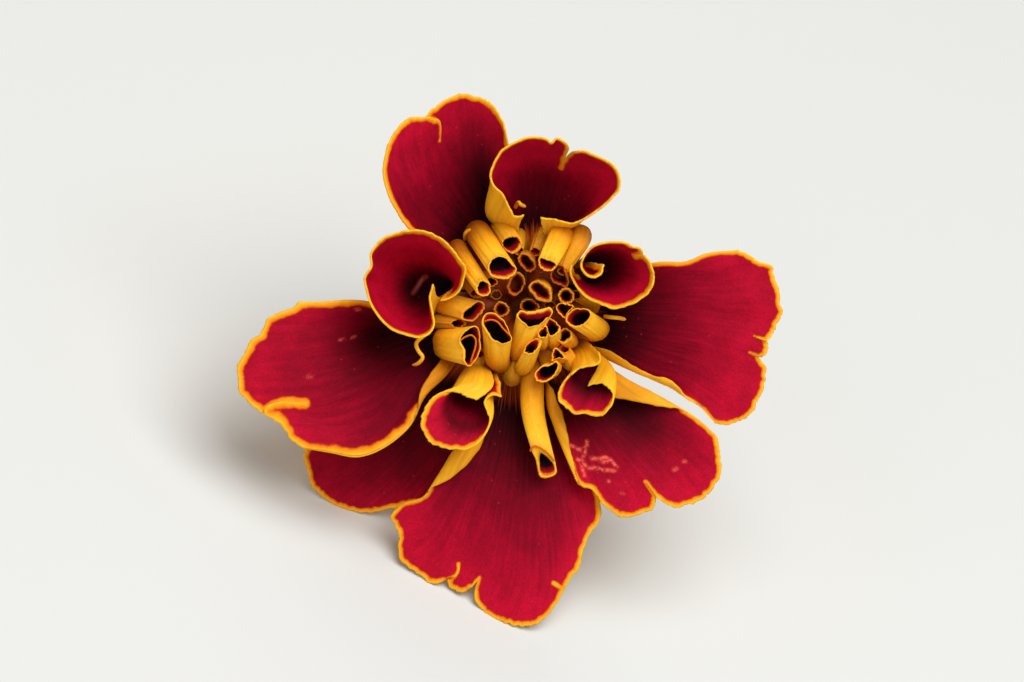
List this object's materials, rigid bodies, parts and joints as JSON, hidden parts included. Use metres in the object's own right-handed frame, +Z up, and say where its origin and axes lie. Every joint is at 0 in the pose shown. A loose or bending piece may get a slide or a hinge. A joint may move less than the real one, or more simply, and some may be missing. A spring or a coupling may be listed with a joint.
{
  "type": "marigold flower",
  "caption": "Picked French marigold flower head lying on a surface: broad and rolled dark red petals with golden margins round a disc of tubular florets, on a green cup and short stem stub.",
  "frame": {"origin": "on the surface the flower lies on, under the centre of its bounding box", "axes": "+Z up from the surface; the face of the flower looks forwards along -Y and up; +X is the right-hand side seen from the face"},
  "size_m": [0.0454, 0.0428, 0.0363],
  "materials": {
    "stem": "fresh green plant stem, satin, finely ribbed",
    "cup": "smooth green involucre, satin, with long oil glands",
    "disc": "soft golden yellow florets, velvety, dark red inside",
    "petal": "velvety deep red petal with a golden margin and a golden yellow back"
  },
  "bodies": {
    "root": {"stem": "stem", "cup": "cup", "disc_florets": "disc", "quill_floret": "petal", "petal_1": "petal", "petal_2": "petal", "petal_3": "petal", "petal_4": "petal", "petal_5": "petal", "petal_6": "petal", "petal_7": "petal", "trumpet_a": "petal", "trumpet_b": "petal", "trumpet_c": "petal", "trumpet_d": "petal"}
  },
  "joints": []
}
